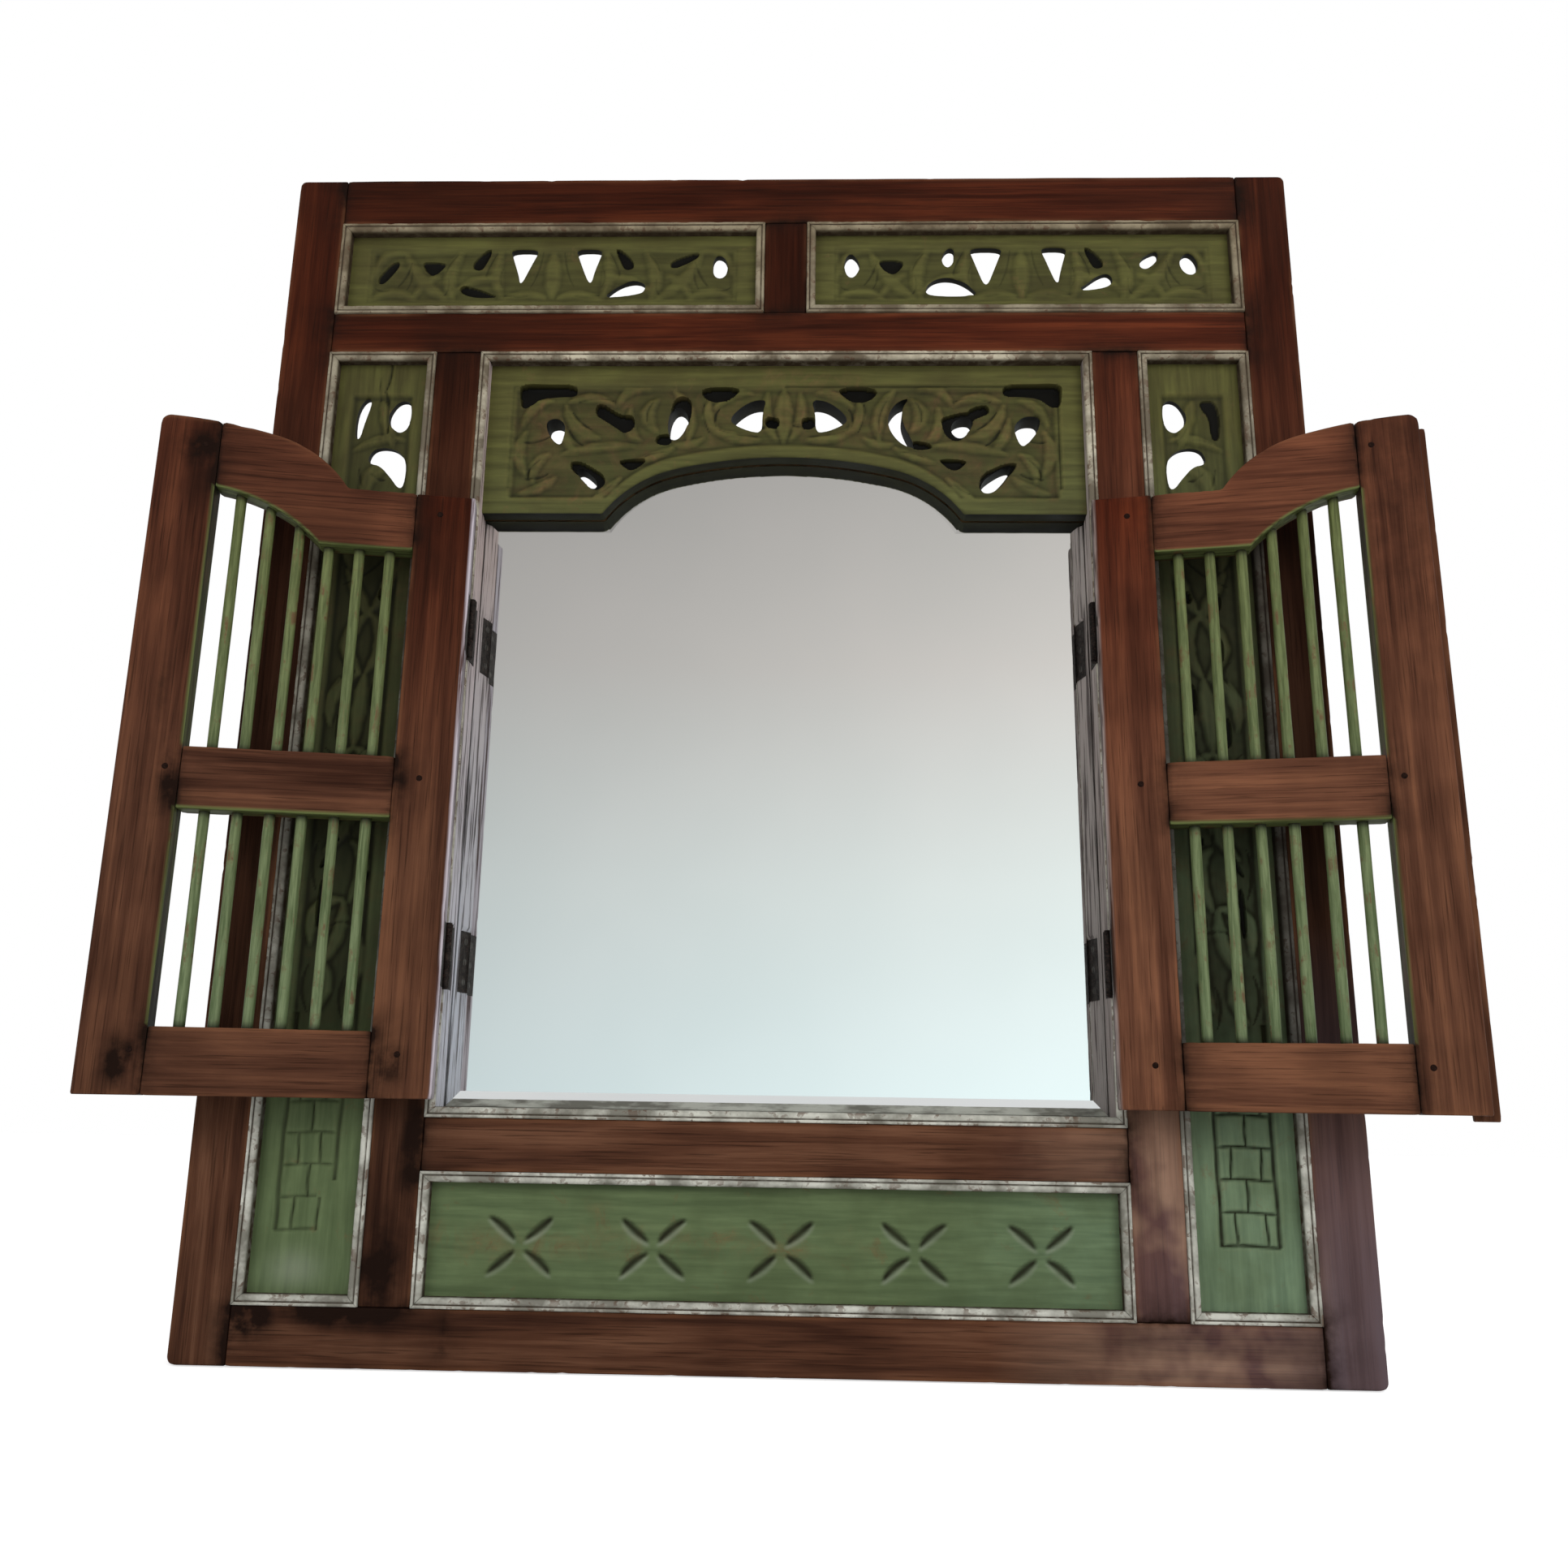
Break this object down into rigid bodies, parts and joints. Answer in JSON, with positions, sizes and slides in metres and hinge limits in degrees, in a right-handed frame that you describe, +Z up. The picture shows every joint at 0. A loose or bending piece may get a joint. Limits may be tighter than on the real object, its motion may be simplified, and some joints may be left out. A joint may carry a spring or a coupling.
{
  "type": "shuttered wall mirror",
  "caption": "Carved wooden wall mirror with pierced side and top panels, an arched board over the bevelled glass and a pair of barred shutters that swing on butt hinges.",
  "frame": {"origin": "middle of the frame's foot, on the plane of its back that lies against the wall", "axes": "+Z up, +Y into the wall, -Y out of the mirror's front, +X to the right of someone facing it"},
  "size_m": [1.0408, 0.1095, 1.02],
  "materials": {
    "frame_wood": "dark red-brown stain, worn",
    "shutter_wood": "dark red-brown stain, satin",
    "green_paint": "carved wood under worn green paint",
    "cream_paint": "wood under worn cream paint",
    "plain_wood": "bare wood",
    "backing": "plywood",
    "mirror": "silvered glass",
    "hinge_iron": "dark iron",
    "screw_steel": "dull steel"
  },
  "bodies": {
    "frame": {"arch_board": "green_paint", "backing_board": "backing", "bottom_rail": "frame_wood", "cleat_screws": "screw_steel", "frame_stile_left": "frame_wood", "frame_stile_right": "frame_wood", "hanging_plate_screws": "screw_steel", "hanging_plates": "hinge_iron", "hinge_left_fixed_plates": "hinge_iron", "hinge_left_jamb_screws": "screw_steel", "hinge_left_pins": "hinge_iron", "hinge_right_fixed_plates": "hinge_iron", "hinge_right_jamb_screws": "screw_steel", "hinge_right_pins": "hinge_iron", "inner_stile_left": "frame_wood", "inner_stile_right": "frame_wood", "lower_cross_rail": "frame_wood", "mirror_glass": "mirror", "panel_bottom": "green_paint", "panel_column_left": "green_paint", "panel_column_right": "green_paint", "panel_top_left": "green_paint", "panel_top_right": "green_paint", "retaining_bead_bottom": "plain_wood", "retaining_bead_column_left": "plain_wood", "retaining_bead_column_right": "plain_wood", "retaining_bead_top_left": "plain_wood", "retaining_bead_top_right": "plain_wood", "retaining_cleats": "plain_wood", "second_rail": "frame_wood", "top_mullion": "frame_wood", "top_rail": "frame_wood", "trim_bottom": "cream_paint", "trim_column_left": "cream_paint", "trim_column_right": "cream_paint", "trim_mirror": "cream_paint", "trim_top_left": "cream_paint", "trim_top_right": "cream_paint"},
    "shutter_left": {"hinge_left_shutter_screws": "screw_steel", "hinge_left_swinging_plates": "hinge_iron", "shutter_left_bottom_rail": "shutter_wood", "shutter_left_hinge_stile": "shutter_wood", "shutter_left_lower_spindles": "green_paint", "shutter_left_meeting_stile": "shutter_wood", "shutter_left_mid_rail": "shutter_wood", "shutter_left_pegs": "shutter_wood", "shutter_left_top_rail": "shutter_wood", "shutter_left_upper_spindles": "green_paint"},
    "shutter_right": {"cover_strip": "shutter_wood", "hinge_right_shutter_screws": "screw_steel", "hinge_right_swinging_plates": "hinge_iron", "shutter_right_bottom_rail": "shutter_wood", "shutter_right_hinge_stile": "shutter_wood", "shutter_right_lower_spindles": "green_paint", "shutter_right_meeting_stile": "shutter_wood", "shutter_right_mid_rail": "shutter_wood", "shutter_right_pegs": "shutter_wood", "shutter_right_top_rail": "shutter_wood", "shutter_right_upper_spindles": "green_paint"}
  },
  "joints": [
    {"name": "shutter_left_swing", "type": "hinge", "parent": "frame", "child": "shutter_left", "pos_m": [-0.2605, -0.0415, 0.44], "axis": [0, 0, 1], "range_deg": [-11.5, 170]},
    {"name": "shutter_right_swing", "type": "hinge", "parent": "frame", "child": "shutter_right", "pos_m": [0.2605, -0.0415, 0.44], "axis": [0, 0, -1], "range_deg": [-11.5, 170]}
  ]
}
